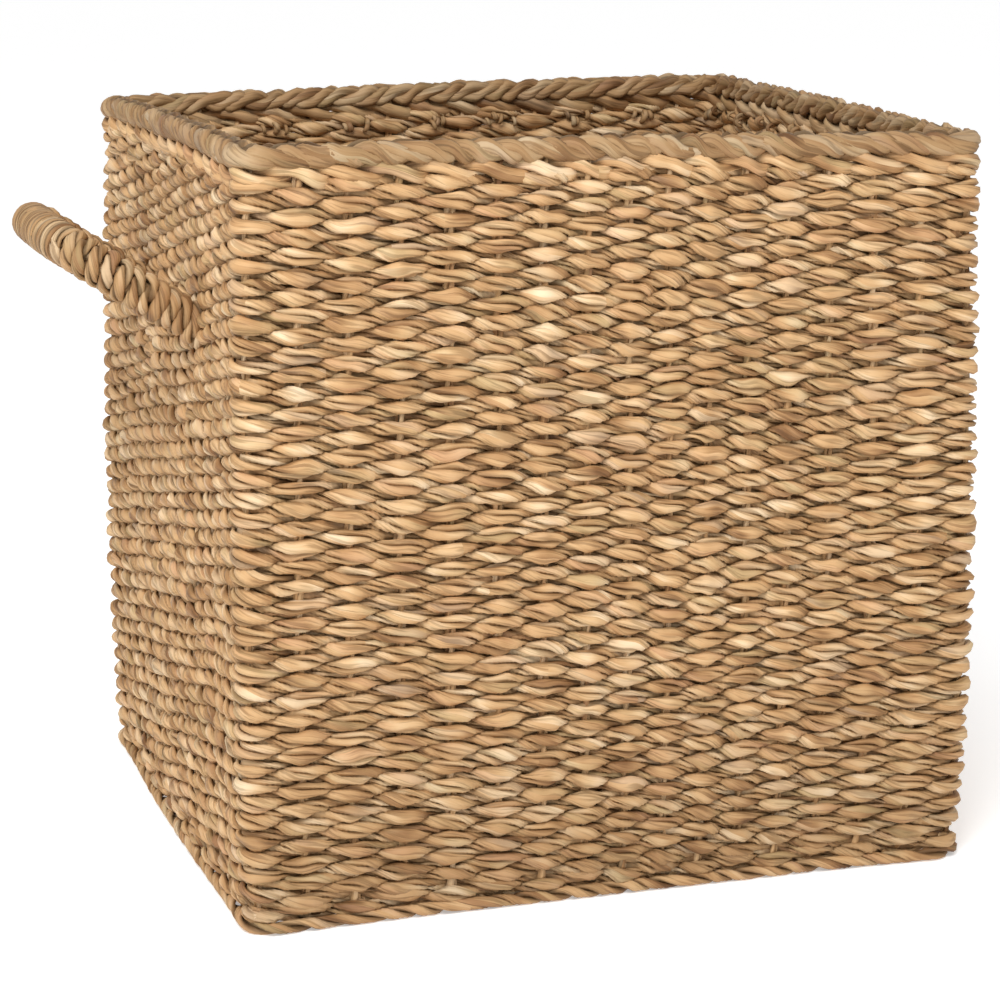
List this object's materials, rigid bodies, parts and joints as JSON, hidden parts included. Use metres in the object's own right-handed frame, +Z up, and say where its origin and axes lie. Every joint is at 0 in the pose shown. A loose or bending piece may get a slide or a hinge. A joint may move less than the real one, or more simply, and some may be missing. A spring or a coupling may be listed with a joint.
{
  "type": "woven seagrass storage basket",
  "caption": "Tall square open-top storage basket of twisted seagrass cord woven over upright stakes, with a rope rim and a wrapped loop handle hinged on each side wall.",
  "frame": {"origin": "middle of the flat underside, on the floor", "axes": "+Z up out of the open top, +X to the right handle, -Y to the front"},
  "size_m": [0.5439, 0.365, 0.4],
  "materials": {
    "woven_seagrass": "twisted dry seagrass cord, matte with fine fibre streaks",
    "border_cord": "twisted dry seagrass cord, matte",
    "rim_rope": "thick twisted seagrass rope, matte with a faint sheen",
    "stake_fibre": "bundled dry seagrass leaves, matte",
    "handle_core_rope": "twisted seagrass rope, matte",
    "handle_cord": "seagrass cord wrapped tight, matte"
  },
  "bodies": {
    "basket": {"base_mat": "woven_seagrass", "base_border_cord": "border_cord", "weave_band_1": "woven_seagrass", "weave_band_2": "woven_seagrass", "weave_band_3": "woven_seagrass", "weave_band_4": "woven_seagrass", "weave_band_5": "woven_seagrass", "weave_band_6": "woven_seagrass", "weave_band_7": "woven_seagrass", "rim_roll": "rim_rope", "stake_end_tucks": "stake_fibre", "front_to_back_stake_01": "stake_fibre", "front_to_back_stake_02": "stake_fibre", "front_to_back_stake_03": "stake_fibre", "front_to_back_stake_04": "stake_fibre", "front_to_back_stake_05": "stake_fibre", "front_to_back_stake_06": "stake_fibre", "front_to_back_stake_07": "stake_fibre", "front_to_back_stake_08": "stake_fibre", "front_to_back_stake_09": "stake_fibre", "front_to_back_stake_10": "stake_fibre", "front_to_back_stake_11": "stake_fibre", "front_to_back_stake_12": "stake_fibre", "front_to_back_stake_13": "stake_fibre", "front_to_back_stake_14": "stake_fibre", "front_to_back_stake_15": "stake_fibre", "side_to_side_stake_01": "stake_fibre", "side_to_side_stake_02": "stake_fibre", "side_to_side_stake_03": "stake_fibre", "side_to_side_stake_04": "stake_fibre", "side_to_side_stake_05": "stake_fibre", "side_to_side_stake_06": "stake_fibre", "side_to_side_stake_07": "stake_fibre", "side_to_side_stake_08": "stake_fibre", "side_to_side_stake_09": "stake_fibre", "side_to_side_stake_10": "stake_fibre", "side_to_side_stake_11": "stake_fibre", "side_to_side_stake_12": "stake_fibre", "side_to_side_stake_13": "stake_fibre", "side_to_side_stake_14": "stake_fibre", "corner_stake_1": "stake_fibre", "corner_stake_2": "stake_fibre", "corner_stake_3": "stake_fibre", "corner_stake_4": "stake_fibre"},
    "left_handle": {"left_handle_core": "handle_core_rope", "left_handle_wrap": "handle_cord"},
    "right_handle": {"right_handle_core": "handle_core_rope", "right_handle_wrap": "handle_cord"}
  },
  "joints": [
    {"name": "left_handle_hinge", "type": "hinge", "parent": "basket", "child": "left_handle", "pos_m": [-0.2, 0, 0.299], "axis": [0, 1, 0], "range_deg": [-53, 32]},
    {"name": "right_handle_hinge", "type": "hinge", "parent": "basket", "child": "right_handle", "pos_m": [0.2, 0, 0.299], "axis": [0, -1, 0], "range_deg": [-72, 13]}
  ]
}
